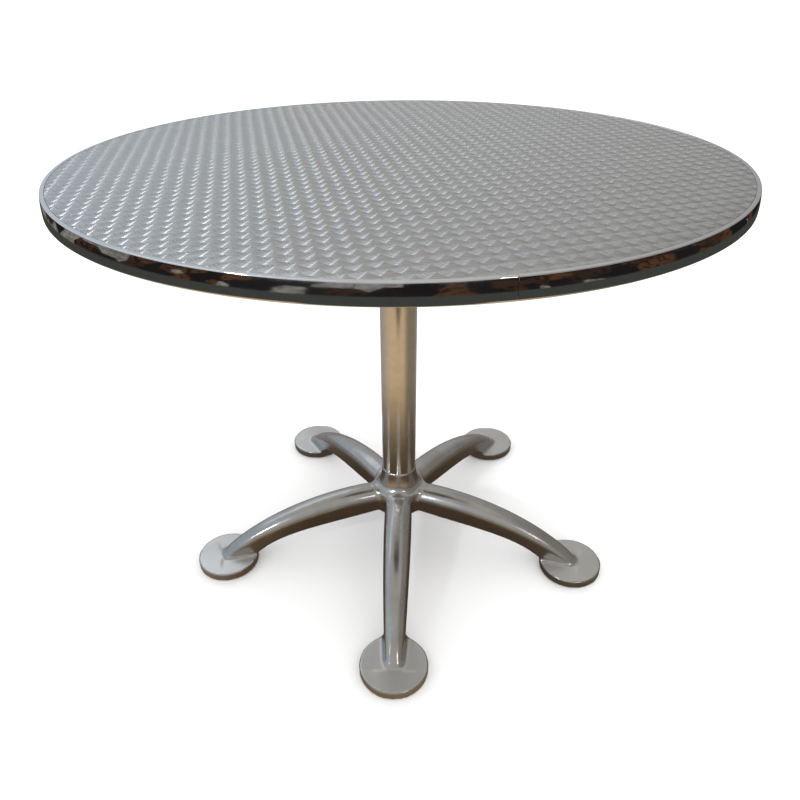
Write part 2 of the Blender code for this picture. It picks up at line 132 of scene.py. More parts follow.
COLLAR_TOP = 0.160
COLLAR_RADIUS = 0.0335
HUB_RADIUS = 0.050
HUB_FLARE_FOOT = 0.116
HUB_BOTTOM = 0.076
SPIGOT_RADIUS = 0.0297
SPIGOT_TOP = 0.185
ROD_HOLE_RADIUS = 0.0065
POCKET_RADIUS = 0.019
POCKET_ROOF = 0.113

LEG_NOSE = 0.343
LEG_END = 0.367
LEG_ROOT_HALF_WIDTH = 0.0262
LEG_TAPER = 0.0107
LEG_TAPER_START = 0.05
LEG_TAPER_LENGTH = 0.30
LEG_SHOULDER = 2.3
LEG_WALL = 0.0055
LEG_TOP_LINE = ((0.020, 0.1180), (0.150, 0.1295), (0.290, 0.0905), (0.367, 0.0160))
LEG_UNDER_LINE = ((0.020, 0.0800), (0.150, 0.0630), (0.250, 0.0675), (0.300, 0.0145))
CHANNEL_START = 0.068
CHANNEL_END = 0.288

ROOT_FILLET = 0.016
TOE_FILLET = 0.009
EDGE_FILLET = 0.0025
CASTING_VOXEL = 0.0026
CASTING_PASSES = 14

# Camera and studio ----------------------------------------------------------------------------
CAMERA_PLACE = (0.02955859, -1.05275774, 0.97539438)
CAMERA_TURN = (56.34436, 0.53872, 2.07223)
CAMERA_LENS = 30.29206
CAMERA_SHIFT = (0.011481, 0.020705)
STAGE_SIZE = 60.0
MIRRORED_FLOOR_HEIGHT = -0.002
BAND_HEIGHT = 0.73
ROOM_CELLS = 6.5
ROOM_CELL_HEIGHT = 0.9
WINDOW_LAMP = {"place": (-1.10, -1.35, 1.25), "aim": (-0.30, -0.35, 0.74), "size": 0.13,
               "power": 1.0, "colour": (0.95, 0.98, 1.0), "spread": 38.0}
SIDE_LAMP = {"place": (1.25, -2.10, 1.70), "aim": (0.0, 0.0, 0.3), "size": 0.16,
             "power": 2.4, "colour": (1.0, 0.92, 0.82), "spread": 180.0}


# Mesh helpers ---------------------------------------------------------------------------------
def add_piece(name, mesh, body, look, slot, *nodes):
    """Link a mesh as a visible piece that rides on a body and stands for CAD nodes."""
    made = bpy.data.objects.new(name, mesh)
    bpy.context.collection.objects.link(made)
    mesh.materials.clear()
    mesh.materials.append(look)
    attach(made, body)
    if nodes:
        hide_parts(*nodes)


def mesh_of(name, bm, sharp=35):
    """Close up a bmesh and make it a smooth mesh with edges sharp beyond an angle."""
    bmesh.ops.remove_doubles(bm, verts=bm.verts, dist=1e-7)
    bmesh.ops.recalc_face_normals(bm, faces=bm.faces)
    mesh = bpy.data.meshes.new(name)
    bm.to_mesh(mesh)
    bm.free()
    mesh.shade_smooth()
    mesh.set_sharp_from_angle(angle=math.radians(sharp))
    return mesh


def lathe(name, profile, steps=ROUND_STEPS, closed=True, spot=(0.0, 0.0), sharp=35):
    """Turn an outline of (radius, height) points about an upright axis."""
    bm = bmesh.new()
    verts = [bm.verts.new((spot[0] + radius, spot[1], height)) for radius, height in profile]
    edges = [bm.edges.new(pair) for pair in zip(verts, verts[1:])]
    if closed:
        edges.append(bm.edges.new((verts[-1], verts[0])))
    bmesh.ops.spin(bm, geom=verts + edges, cent=(*spot, 0.0), axis=(0, 0, 1),
                   angle=2 * math.pi, steps=steps, use_merge=True)
    return mesh_of(name, bm, sharp)


def arc(centre, radius, start, end, steps=5):
    """Points of a circular arc, with its angles in degrees."""
    for index in range(steps + 1):
        angle = math.radians(start + (end - start) * index / steps)
        yield (centre[0] + radius * math.cos(angle), centre[1] + radius * math.sin(angle))


def rounded(points, radius, steps=4):
    """A closed outline with each corner eased to a curve of about a given radius."""
    result = []
    for index, corner in enumerate(points):
        before = Vector(points[index - 1])
        corner = Vector(corner)
        after = Vector(points[(index + 1) % len(points)])
        reach = min(radius, (before - corner).length * 0.45, (after - corner).length * 0.45)
        near = corner + (before - corner).normalized() * reach
        far = corner + (after - corner).normalized() * reach
        for step in range(steps + 1):
            share = step / steps
            point = near * (1 - share) ** 2 + corner * 2 * share * (1 - share) + far * share ** 2
            result.append((point.x, point.y))
    return result


# Shader helpers -------------------------------------------------------------------------------
class Nodes:
    """Adds nodes to one node tree and joins them up."""

    def __init__(self, tree, coordinates):
        self.tree = tree
        self.place = self.node("ShaderNodeTexCoord").outputs[coordinates]

    def node(self, kind, **settings):
        made = self.tree.nodes.new(kind)
        for key, value in settings.items():
            setattr(made, key, value)
        return made

    def put(self, socket, value):
        """Link an output to a socket, or set the socket to a plain value."""
        if isinstance(value, bpy.types.NodeSocket):
            self.tree.links.new(value, socket)
        else:
            socket.default_value = value

    def math(self, operation, *values, clamp=False):
        made = self.node("ShaderNodeMath", operation=operation, use_clamp=clamp)
        for socket, value in zip(made.inputs, values):
            self.put(socket, value)
        return made.outputs[0]

    def vector(self, operation, *values):
        made = self.node("ShaderNodeVectorMath", operation=operation)
        for socket, value in zip(made.inputs, values):
            self.put(socket, value)
        return made.outputs["Value" if operation in ("DOT_PRODUCT", "LENGTH") else "Vector"]

    def scaled(self, vector, factor):
        made = self.node("ShaderNodeVectorMath", operation="SCALE")
        self.put(made.inputs[0], vector)
        self.put(made.inputs["Scale"], factor)
        return made.outputs["Vector"]

    def choose(self, factor, first, second):
        """The first vector where the factor is 0 and the second where it is 1."""
        made = self.node("ShaderNodeMix", data_type="VECTOR")
        self.put(made.inputs["Factor"], factor)
        self.put(made.inputs[4], first)
        self.put(made.inputs[5], second)
        return made.outputs[1]

    def blend(self, factor, first, second):
        """Mix of two colours."""
        made = self.node("ShaderNodeMix", data_type="RGBA")
        self.put(made.inputs["Factor"], factor)
        self.put(made.inputs[6], (*first, 1.0) if isinstance(first, tuple) else first)
        self.put(made.inputs[7], (*second, 1.0) if isinstance(second, tuple) else second)
        return made.outputs[2]

    def spread(self, value, low, high, new_low, new_high, smooth=False):
        """The value carried from one range to another and held at its ends."""
        kind = "SMOOTHSTEP" if smooth else "LINEAR"
        made = self.node("ShaderNodeMapRange", interpolation_type=kind)
        for socket, part in zip(made.inputs, (value, low, high, new_low, new_high)):
            self.put(socket, part)
        return made.outputs["Result"]

    def noise(self, scale, detail=3.0, roughness=0.5, vector=None, stretch=None):
        """Noise value, centred near 0.5."""
        where = self.place if vector is None else vector
        if stretch:
            where = self.vector("MULTIPLY", where, stretch)
        made = self.node("ShaderNodeTexNoise")
        self.put(made.inputs["Vector"], where)
        made.inputs["Scale"].default_value = scale
        made.inputs["Detail"].default_value = detail
        made.inputs["Roughness"].default_value = roughness
        return made.outputs[0]

    def bump(self, height, strength, distance, normal=None):
        made = self.node("ShaderNodeBump")
        made.inputs["Strength"].default_value = strength
        made.inputs["Distance"].default_value = distance
        self.put(made.inputs["Height"], height)
        if normal:
            self.put(made.inputs["Normal"], normal)
        return made.outputs["Normal"]


class Shader(Nodes):
    """The nodes of one material, with its surface."""

    def __init__(self, name, colour, roughness, metallic):
        self.material = bpy.data.materials.new(name)
        self.material.use_nodes = True
        super().__init__(self.material.node_tree, "Object")
        self.surface = self.tree.nodes["Principled BSDF"]
        self.surface.inputs["Base Color"].default_value = (*colour, 1.0)
        self.surface.inputs["Roughness"].default_value = roughness
        self.surface.inputs["Metallic"].default_value = metallic

    def finish(self, **values):
        """Set the surface's sockets by name, with underscores for spaces."""
        for name, value in values.items():
            self.put(self.surface.inputs[name.replace("_", " ")], value)
        return self.material


# Materials ------------------------------------------------------------------------------------
def swirl_steel():
    """Engine-turned stainless skin: a lattice of overlapping spots, each brushed in circles.

    Every spot covers part of the ones pressed before it, so from each point the shader picks
    the last spot that reaches it. The brushing follows circles, so its gloss is stretched
    along the spot's radius. Each spot's colour also carries painted shade, darker towards one
    side, and a painted highlight, a paler line at its rim.
    """
    s = Shader("engine_turned_steel", (0.50, 0.505, 0.50), 0.42, 1.0)
    flat = s.vector("MULTIPLY", s.place, (1.0, 1.0, 0.0))
    area = SPOT_ROW.x * SPOT_COLUMN.y - SPOT_ROW.y * SPOT_COLUMN.x
    row = s.vector("DOT_PRODUCT", flat, (SPOT_COLUMN.y / area, -SPOT_COLUMN.x / area, 0.0))
    column = s.vector("DOT_PRODUCT", flat, (-SPOT_ROW.y / area, SPOT_ROW.x / area, 0.0))
    row_cell = s.math("FLOOR", row)
    column_cell = s.math("FLOOR", column)
    radial = None
    identity = None
    for step_row, step_column in ((0, 0), (1, 0), (0, 1), (1, 1)):
        spot_row = s.math("ADD", row_cell, float(step_row))
        spot_column = s.math("ADD", column_cell, float(step_column))
        centre = s.vector("ADD", s.scaled(tuple(SPOT_ROW), spot_row),
                          s.scaled(tuple(SPOT_COLUMN), spot_column))
        key = s.node("ShaderNodeCombineXYZ")
        s.put(key.inputs[0], spot_row)
        s.put(key.inputs[1], spot_column)
        chance = s.node("ShaderNodeTexWhiteNoise", noise_dimensions="2D")
        s.put(chance.inputs["Vector"], key.outputs[0])
        stray = s.vector("SUBTRACT", chance.outputs["Color"], (0.5, 0.5, 0.0))
        stray = s.scaled(stray, 2 * SPOT_JITTER)
        offset = s.vector("SUBTRACT", s.vector("SUBTRACT", flat, centre), stray)
        offset = s.vector("MULTIPLY", offset, (1.0, 1.0, 0.0))
        if radial is None:
            radial = offset
            identity = chance.outputs["Color"]
            continue
        reached = s.math("LESS_THAN", s.vector("LENGTH", offset), SPOT_RADIUS)
        radial = s.choose(reached, radial, offset)
        identity = s.choose(reached, identity, chance.outputs["Color"])
    distance = s.vector("LENGTH", radial)
    share = s.math("DIVIDE", distance, SPOT_RADIUS)
    luck = s.vector("DOT_PRODUCT", identity, (1.0, 0.0, 0.0))
    rings = s.node("ShaderNodeTexNoise", noise_dimensions="1D")
    offset = s.math("MULTIPLY", luck, 40.0)
    s.put(rings.inputs["W"], s.math("MULTIPLY_ADD", distance, SPOT_RINGS, offset))
    rings.inputs["Detail"].default_value = 4.0
    rings.inputs["Roughness"].default_value = 0.62
    ring = rings.outputs[0]
    rim = s.spread(share, 0.93, 0.985, 0.0, 1.0, smooth=True)
    height = s.math("ADD", s.math("MULTIPLY", ring, 0.8), s.math("MULTIPLY", rim, 0.5))
    clouds = s.noise(7.0, 2.0)
    shade = s.blend(s.spread(ring, 0.42, 0.58, 0.0, 1.0), (0.33, 0.33, 0.325), (0.84, 0.84, 0.83))
    # Painted shade: each spot's colour darkens towards one side, along the lattice's column.
    painted_shade_side = s.vector("DOT_PRODUCT", radial, tuple(SPOT_COLUMN.normalized() / SPOT_RADIUS))
    shade = s.blend(s.spread(painted_shade_side, 0.1, 0.95, 0.0, 0.45), shade, (0.36, 0.36, 0.36))
    # Painted highlight: a paler thin line along each spot's rim; the same rim also raises a ridge in
    # the bump.
    shade = s.blend(s.math("MULTIPLY", rim, 0.3), shade, (0.76, 0.76, 0.75))
    rough = s.math("ADD", s.spread(ring, 0.3, 0.7, 0.24, 0.36), s.math("MULTIPLY", clouds, 0.04))
    return s.finish(Base_Color=shade, Roughness=rough, Anisotropic=1.0,
                    Tangent=s.vector("NORMALIZE", radial), Normal=s.bump(height, 0.35, 0.00015))


def polished_metal(name, colour, roughness, grain, depth=0.10):
    """Hand-polished metal with faint grain, small scratches and uneven wiping marks."""
    s = Shader(name, colour, roughness, 1.0)
    smear = s.noise(9.0, 4.0, 0.6)
    fine = s.noise(420.0, 3.0, 0.6, stretch=grain)
    worn = s.noise(55.0, 5.0, 0.7)
    rough = s.math("ADD", roughness, s.spread(smear, 0.35, 0.75, -0.02, 0.09))
    rough = s.math("ADD", rough, s.spread(fine, 0.3, 0.7, -0.015, 0.03))
    darker = tuple(part * GRAIN_SHADE for part in colour)
    shade = s.blend(s.spread(worn, 0.45, 0.8, 0.0, 1.0), colour, darker)
    return s.finish(Base_Color=shade, Roughness=rough, Normal=s.bump(fine, depth, 0.00006))


def polished_casting():
    """Sand casting: polished legs, satin disc tops, and rough and dull underneath."""
    s = Shader("polished_casting", (0.66, 0.655, 0.645), 0.2, 1.0)
    facing = s.node("ShaderNodeNewGeometry").outputs["Normal"]
    upward = s.vector("DOT_PRODUCT", facing, (0.0, 0.0, 1.0))
    raw = s.spread(upward, -0.35, -0.75, 0.0, 1.0, smooth=True)
    smear = s.noise(14.0, 4.0, 0.6)
    sand = s.noise(900.0, 4.0, 0.7)
    scratch = s.noise(260.0, 3.0, 0.65, stretch=(1.0, 1.0, 0.25))
    pits = s.spread(s.noise(190.0, 2.0, 0.5), 0.24, 0.34, 1.0, 0.0, smooth=True)
    polished = s.blend(s.spread(smear, 0.35, 0.8, 0.0, 1.0), (0.54, 0.53, 0.515), (0.40, 0.385, 0.37))
    polished = s.blend(s.math("MULTIPLY", pits, 0.35), polished, (0.30, 0.29, 0.28))
    shade = s.blend(raw, polished, (0.27, 0.265, 0.255))
    low = s.spread(s.vector("DOT_PRODUCT", s.place, (0.0, 0.0, 1.0)), 0.018, 0.022, 1.0, 0.0)
    disc = s.math("MULTIPLY", low, s.spread(upward, 0.9, 0.98, 0.0, 1.0))
    shade = s.blend(s.math("MULTIPLY", disc, 0.8), shade, (0.70, 0.695, 0.68))
    gloss = s.spread(smear, 0.3, 0.75, 0.19, 0.27)
    gloss = s.math("ADD", gloss, s.spread(scratch, 0.3, 0.7, -0.02, 0.03))
    gloss = s.math("MULTIPLY_ADD", disc, 0.13, gloss)
    rough = s.math("ADD", gloss, s.math("MULTIPLY", raw, 0.3))
    height = s.math("SUBTRACT", s.math("MULTIPLY", scratch, 0.10), s.math("MULTIPLY", pits, 0.15))
    height = s.math("ADD", height, s.math("MULTIPLY", s.math("MULTIPLY", sand, raw), 3.0))
    normal = s.bump(height, 0.25, 0.00012)
    normal = s.bump(s.noise(22.0, 1.5), 0.22, 0.004, normal)
    return s.finish(Base_Color=shade, Roughness=rough, Normal=normal)


def particle_board():
    s = Shader("particle_board", (0.45, 0.33, 0.20), 0.8, 0.0)
    chips = s.node("ShaderNodeTexVoronoi", feature="F1")
    s.put(chips.inputs["Vector"], s.vector("MULTIPLY", s.place, (1.0, 1.0, 2.6)))
    chips.inputs["Scale"].default_value = 330.0
    tone = s.vector("DOT_PRODUCT", chips.outputs["Color"], (1.0, 0.0, 0.0))
    shade = s.blend(tone, (0.30, 0.19, 0.10), (0.58, 0.44, 0.27))
    shade = s.blend(s.math("MULTIPLY", s.noise(60.0), 0.4), shade, (0.36, 0.25, 0.15))
    return s.finish(Base_Color=shade, Roughness=s.spread(tone, 0.0, 1.0, 0.72, 0.9),
                    Normal=s.bump(chips.outputs["Distance"], 0.5, 0.0004))


def matt_coat(name, colour, light, roughness, scale, strength):
    """Textured coat or moulded plastic: a fine orange-peel bump with dust in its hollows."""
    s = Shader(name, colour, roughness, 0.0)
    peel = s.noise(scale, 3.0, 0.55)
    dust = s.noise(18.0, 4.0, 0.65)
    shade = s.blend(s.spread(dust, 0.4, 0.75, 0.0, 1.0), colour, light)
    rough = s.math("ADD", s.spread(peel, 0.3, 0.7, roughness - 0.06, roughness + 0.08),
                   s.math("MULTIPLY", dust, 0.06))
    return s.finish(Base_Color=shade, Roughness=rough, Normal=s.bump(peel, strength, 0.0003))


def plated_steel():
    """Bright zinc plate: blue-grey with a faint yellow cast and a dull bloom."""
    s = Shader("zinc_plate", (0.62, 0.63, 0.62), 0.35, 1.0)
    bloom = s.noise(130.0, 4.0, 0.6)
    shade = s.blend(bloom, (0.56, 0.58, 0.60), (0.68, 0.66, 0.58))
    return s.finish(Base_Color=shade, Roughness=s.spread(bloom, 0.3, 0.7, 0.26, 0.46),
                    Normal=s.bump(s.noise(900.0), 0.2, 0.00005))


def turned_aluminium():
    """Mill finish with the fine rings of a lathe tool."""
    s = Shader("mill_aluminium", (0.66, 0.67, 0.68), 0.4, 1.0)
    lines = s.noise(900.0, 3.0, 0.6, stretch=(0.05, 0.05, 1.0))
    cloud = s.noise(30.0, 3.0)
    shade = s.blend(cloud, (0.60, 0.61, 0.62), (0.70, 0.71, 0.72))
    return s.finish(Base_Color=shade, Roughness=s.spread(lines, 0.3, 0.7, 0.32, 0.5),
                    Normal=s.bump(lines, 0.25, 0.00006))


# Top ------------------------------------------------------------------------------------------
def make_sheet(look):
    """Thin skin with its rim eased, meshed in rings so that it can carry a fine finish."""
    low, high = SHEET_LOW.z, SHEET_HIGH.z
    ease = (high - low) * 0.4
    rings = [SHEET_RADIUS * step / 12 for step in range(12)]
    profile = [(0.0, low), (SHEET_RADIUS - ease, low)]
    profile += list(arc((SHEET_RADIUS - ease, high - ease), ease, 0, 90, 3))
    profile += [(radius, high) for radius in reversed(rings)]
    mesh = lathe("swirled_sheet", profile, closed=False)
    add_piece("swirled_sheet", mesh, TABLE_BODY, look, "swirl_steel", "top_sheet")


def band_face(low, high):
    """Outline of the band's rolled face, widest where it stands upright."""
    bend = (high - low) / (math.sin(BAND_TILT_HIGH) - math.sin(BAND_TILT_LOW))
    centre = low - bend * math.sin(BAND_TILT_LOW)
    for step in range(BAND_FACE_STEPS + 1):
        tilt = BAND_TILT_LOW + (BAND_TILT_HIGH - BAND_TILT_LOW) * step / BAND_FACE_STEPS
        yield TOP_RADIUS - bend * (1 - math.cos(tilt)), centre + bend * math.sin(tilt)


def make_band(look):
    """Rim band with soft bent corners, a rolled face and one butt joint."""
    inner = TOP_RADIUS - BAND_WALL
    lip_edge = TOP_RADIUS - BAND_LIP
    fold_edge = TOP_RADIUS - BAND_RETURN
    top = BAND_HIGH.z
    low = BAND_LOW.z
    face = list(band_face(low + BAND_CORNER, top - BAND_CORNER))
    foot = face[0][0]
    head = face[-1][0]
    section = [(fold_edge, low), (foot - BAND_CORNER, low)]
    section += list(arc((foot - BAND_CORNER, low + BAND_CORNER), BAND_CORNER, -70, -20, 3))
    section += face
    section += list(arc((head - BAND_CORNER, top - BAND_CORNER), BAND_CORNER, 22, 72, 3))
    section += [(head - BAND_CORNER, top), (lip_edge + BAND_ARRIS, top), (lip_edge, top - BAND_ARRIS),
                (lip_edge, top - BAND_LIP_THICKNESS), (inner, top - BAND_LIP_THICKNESS),
                (inner, low + BAND_RETURN_THICKNESS), (fold_edge, low + BAND_RETURN_THICKNESS)]
    half_slit = BAND_SEAM / 2 / TOP_RADIUS
    sweep = 2 * math.pi - 2 * half_slit
    bm = bmesh.new()
    rings = []
    for step in range(ROUND_STEPS + 1):
        angle = BAND_SEAM_ANGLE + half_slit + sweep * step / ROUND_STEPS
        rings.append([bm.verts.new((r * math.cos(angle), r * math.sin(angle), z)) for r, z in section])
    for near, far in zip(rings, rings[1:]):
        for index in range(len(section)):
            after = (index + 1) % len(section)
            bm.faces.new((near[index], near[after], far[after], far[index]))
    bm.faces.new(rings[0])
    bm.faces.new(rings[-1])
    add_piece("rim_band", mesh_of("rim_band", bm), TABLE_BODY, look, "polished_band", "edge_band")


# Column and hardware --------------------------------------------------------------------------
def make_column(look):
    """Plain tube with eased ends."""
    low, high = TUBE_LOW.z, TUBE_HIGH.z
    bore = COLUMN_RADIUS - COLUMN_WALL
    outline = rounded([(bore, low), (COLUMN_RADIUS, low), (COLUMN_RADIUS, high), (bore, high)],
                      COLUMN_EDGE)
    mesh = lathe("column", outline, steps=160)
    add_piece("column", mesh, TABLE_BODY, look, "polished_tube", "column_tube")


def bored(mesh, cutters):
    """The mesh with every cutter mesh taken out of it."""
    body = bpy.data.objects.new(mesh.name, mesh)
    bpy.context.collection.objects.link(body)
    tools = []
    for cutter in cutters:
        tool = bpy.data.objects.new(cutter.name, cutter)
        bpy.context.collection.objects.link(tool)
        tools.append(tool)
        step = body.modifiers.new(cutter.name, "BOOLEAN")
        step.operation = "DIFFERENCE"
        step.object = tool
    shape = body.evaluated_get(bpy.context.evaluated_depsgraph_get())
    result = bpy.data.meshes.new_from_object(shape)
    for spare in [body] + tools:
        bpy.data.objects.remove(spare)
    result.shade_smooth()
    result.set_sharp_from_angle(angle=math.radians(30))
    return result


def around(count, radius):
    """Numbered places on a circle, the first one on -Y."""
    for index in range(count):
        angle = -math.pi / 2 + 2 * math.pi * index / count
        yield index + 1, (radius * math.cos(angle), radius * math.sin(angle))


def make_plate(look):
    """Round steel plate with eased edges and its screw holes."""
    low, high = PLATE_LOW.z, PLATE_HIGH.z
    outline = rounded([(ROD_HOLE_RADIUS, low), (PLATE_RADIUS, low), (PLATE_RADIUS, high),
                       (ROD_HOLE_RADIUS, high)], PLATE_EDGE)
    mesh = lathe("top_plate", outline, steps=144)
    drills = []
    for index, spot in around(SCREW_COUNT, SCREW_CIRCLE):
        hole = [(0.0, low - 0.01), (SCREW_HOLE_RADIUS, low - 0.01), (SCREW_HOLE_RADIUS, high + 0.01),
                (0.0, high + 0.01)]
        drills.append(lathe(f"plate_drill_{index}", hole, 32, closed=False, spot=spot))
    mesh = bored(mesh, drills)
    add_piece("top_plate", mesh, TABLE_BODY, look, "black_steel", "mounting_plate")


def hexagon_reach(angle, flats):
    """Distance from a hexagon's centre to its edge in one direction."""
    turn = (angle + math.pi / 6) % (math.pi / 3) - math.pi / 6
    return flats / 2 / math.cos(turn)


def make_screws(look):
    """Button-head screws with a hexagon socket."""
    low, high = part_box("plate_screw_1")
    head_high = PLATE_LOW.z - SCREW_HEAD_GAP
    rim = head_high - SCREW_HEAD_RIM
    radius = SCREW_HEAD_RADIUS
    turns = [math.pi / 2 * (0.55 + 0.45 * step / 6) for step in range(7)]
    dome = [(radius * math.sin(turn), rim - (rim - low.z) * math.cos(turn)) for turn in turns]
    shank = SCREW_SHANK_RADIUS
    point = [(shank, high.z - SCREW_POINT), (shank * 0.3, high.z), (0.0, high.z)]
    for index, spot in around(SCREW_COUNT, SCREW_CIRCLE):
        outline = [(0.0, dome[0][1])] + dome + [(radius, head_high), (shank, head_high)] + point
        mesh = lathe(f"screw_{index}", outline, 48, closed=False, spot=spot)
        bm = bmesh.new()
        bmesh.ops.create_cone(bm, cap_ends=True, segments=6, radius1=SCREW_SOCKET, radius2=SCREW_SOCKET,
                              depth=SCREW_SOCKET_DEPTH)
        bmesh.ops.translate(bm, verts=bm.verts, vec=(*spot, low.z))
        mesh = bored(mesh, [mesh_of(f"screw_socket_{index}", bm)])
        add_piece(f"screw_{index}", mesh, TABLE_BODY, look, "zinc_steel", f"plate_screw_{index}")


def threaded(name, radius, pitch, depth, low, high, spot=(0.0, 0.0), steps=32):
    """Rod with a helical thread, tapered in at both ends."""
    rows = int((high - low) / pitch * THREAD_ROWS)
    bm = bmesh.new()
    rings = []
    for row in range(rows + 1):
        height = low + (high - low) * row / rows
        ease = min(1.0, (height - low) / pitch, (high - height) / pitch)
        ring = []
        for step in range(steps):
            phase = (height / pitch - step / steps) % 1.0
            groove = depth * (1 - abs(2 * phase - 1)) * ease + depth * (1 - ease)
            angle = 2 * math.pi * step / steps
            ring.append(bm.verts.new((spot[0] + (radius - groove) * math.cos(angle),
                                      spot[1] + (radius - groove) * math.sin(angle), height)))
        rings.append(ring)
    for near, far in zip(rings, rings[1:]):
        for step in range(steps):
            after = (step + 1) % steps
            bm.faces.new((near[step], near[after], far[after], far[step]))
    bm.faces.new(rings[0])
    bm.faces.new(rings[-1])
    return mesh_of(name, bm, sharp=50)


def make_tie_rod(look):
    mesh = threaded("threaded_tie_rod", ROD_HIGH.x, ROD_PITCH, ROD_THREAD, ROD_LOW.z, ROD_HIGH.z)
    add_piece("threaded_tie_rod", mesh, TABLE_BODY, look, "zinc_steel", "tie_rod")


def make_nut(name, node, look):
    """Hexagon nut with both faces chamfered to a circle."""
    low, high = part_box(node)
    flats = min(high.x - low.x, high.y - low.y)
    bore = ROD_HIGH.x + NUT_CLEARANCE
    steps = 72
    angles = [2 * math.pi * step / steps for step in range(steps)]
    bm = bmesh.new()
    rings = []
    for share in (0.0, 0.05, 0.1, 0.16, 0.84, 0.9, 0.95, 1.0):
        height = low.z + (high.z - low.z) * share
        chamfer = flats * HEX_CHAMFER + 1.7 * min(height - low.z, high.z - height)
        ring = []
        for angle in angles:
            reach = min(hexagon_reach(angle, flats), chamfer)
            ring.append(bm.verts.new((reach * math.cos(angle), reach * math.sin(angle), height)))
        rings.append(ring)
    for height in (high.z, low.z):
        rings.append([bm.verts.new((bore * math.cos(angle), bore * math.sin(angle), height))
                      for angle in angles])
    for near, far in zip(rings, rings[1:] + rings[:1]):
        for step in range(steps):
            after = (step + 1) % steps
            bm.faces.new((near[step], near[after], far[after], far[step]))
    add_piece(name, mesh_of(name, bm, sharp=25), TABLE_BODY, look, "zinc_steel", node)


# Cast base ------------------------------------------------------------------------------------
def smooth_least(first, second, fillet):
    """Union of two distance fields with a fillet between them."""
    share = np.clip(0.5 + 0.5 * (second - first) / fillet, 0.0, 1.0)
    return second + (first - second) * share - fillet * share * (1.0 - share)


def smooth_most(first, second, fillet):
    return -smooth_least(-first, -second, fillet)


def bezier_line(points, samples=160):
    """A cubic Bezier line as two rows: radii and heights."""
    share = np.linspace(0.0, 1.0, samples)[:, None]
    a, b, c, d = (np.array(point) for point in points)
    rest = 1 - share
    line = a * rest ** 3 + 3 * b * share * rest ** 2 + 3 * c * share ** 2 * rest + d * share ** 3
    return line[:, 0], line[:, 1]


def leg_shell(along, across, height, inset):
    """Distance to a leg's rounded outside, made smaller by the inset."""
    taper = np.clip((along - LEG_TAPER_START) / LEG_TAPER_LENGTH, 0.0, None)
    half = LEG_ROOT_HALF_WIDTH - LEG_TAPER * taper ** 2 - inset
    top = np.interp(along, *bezier_line(LEG_TOP_LINE)) - inset
    under = np.interp(along, *bezier_line(LEG_UNDER_LINE))
    rise = np.clip(np.minimum(half, 0.9 * (top - under)), 0.001, None)
    toe = np.clip((along - LEG_NOSE) / (LEG_END - LEG_NOSE), 0.0, None)
    side = np.sqrt((across / half) ** 2 + toe ** 2)
    lift = np.clip((height - (top - rise)) / rise, 0.0, None)
    level = np.clip((side ** LEG_SHOULDER + lift ** LEG_SHOULDER) ** (1 / LEG_SHOULDER), 1e-6, None)
    slope_side = (side / level) ** (LEG_SHOULDER - 1) / half
    slope_up = (lift / level) ** (LEG_SHOULDER - 1) / rise
    return (level - 1.0) / np.sqrt(slope_side ** 2 + slope_up ** 2 + 1e-9)


def leg_field(along, across, height):
    """Distances to one solid leg and to the channel that is cored out of it from below."""
    under = np.interp(along, *bezier_line(LEG_UNDER_LINE))
    solid = smooth_most(leg_shell(along, across, height, 0.0), under - height, EDGE_FILLET)
    core = leg_shell(along, across, height, LEG_WALL)
    core = smooth_most(core, np.maximum(CHANNEL_START - along, along - CHANNEL_END), EDGE_FILLET)
    return solid, core


def round_block(across, height, radius, low, high, edge):
    """Distance to an upright round block with eased edges."""
    out = across - (radius - edge)
    up = np.abs(height - (low + high) / 2) - ((high - low) / 2 - edge)
    outside = np.hypot(np.maximum(out, 0.0), np.maximum(up, 0.0))
    return outside + np.minimum(np.maximum(out, up), 0.0) - edge


def hub_field(radius, height):
    """Turned hub: a straight drum that narrows to the collar in a hollow flare."""
    width = HUB_RADIUS - COLLAR_RADIUS
    rise = COLLAR_TOP - HUB_FLARE_FOOT
    reach_out = (radius - HUB_RADIUS) / width
    reach_up = (height - COLLAR_TOP) / rise
    level = np.sqrt(reach_out ** 2 + reach_up ** 2) + 1e-6
    hollow = (level - 1.0) * level / np.sqrt((reach_out / width) ** 2 + (reach_up / rise) ** 2 + 1e-9)
    drum = round_block(radius, height, HUB_RADIUS, HUB_BOTTOM, COLLAR_TOP, EDGE_FILLET)
    body = np.maximum(drum, -hollow)
    spigot = round_block(radius, height, SPIGOT_RADIUS, HUB_BOTTOM, SPIGOT_TOP, 0.001)
    return np.minimum(body, spigot)


def casting_field(points):
    """Signed distance to the whole casting, which repeats every fifth of a turn."""
    x, y, height = points.T
    radius = np.hypot(x, y)
    sector = 2 * math.pi / LEG_COUNT
    turn = np.arctan2(y, x) + math.pi / 2
    turn = np.abs((turn + sector / 2) % sector - sector / 2)
    along, across = radius * np.cos(turn), radius * np.sin(turn)
    leg, core = leg_field(along, across, height)
    away = sector - turn
    beside, beside_core = leg_field(radius * np.cos(away), radius * np.sin(away), height)
    body = smooth_least(leg, beside, ROOT_FILLET)
    body = smooth_least(body, hub_field(radius, height), ROOT_FILLET * 0.6)
    from_foot = np.hypot(along - FOOT_CIRCLE, across)
    disc = round_block(from_foot, height, FOOT_RADIUS, FOOT_BOTTOM, FOOT_TOP, FOOT_EDGE)
    body = smooth_least(body, disc, TOE_FILLET)
    body = smooth_most(body, -np.minimum(core, beside_core), EDGE_FILLET)
    recess = round_block(from_foot, height, FOOT_RADIUS - FOOT_WALL, -0.02, FOOT_RECESS_TOP, 0.001)
    stem = round_block(from_foot, height, STEM_HOLE_RADIUS, -0.02, STEM_HOLE_TOP, 0.0005)
    pocket = round_block(radius, height, POCKET_RADIUS, 0.0, POCKET_ROOF, 0.001)
    rod = radius - ROD_HOLE_RADIUS
    return np.maximum(body, -np.minimum(np.minimum(recess, stem), np.minimum(pocket, rod)))


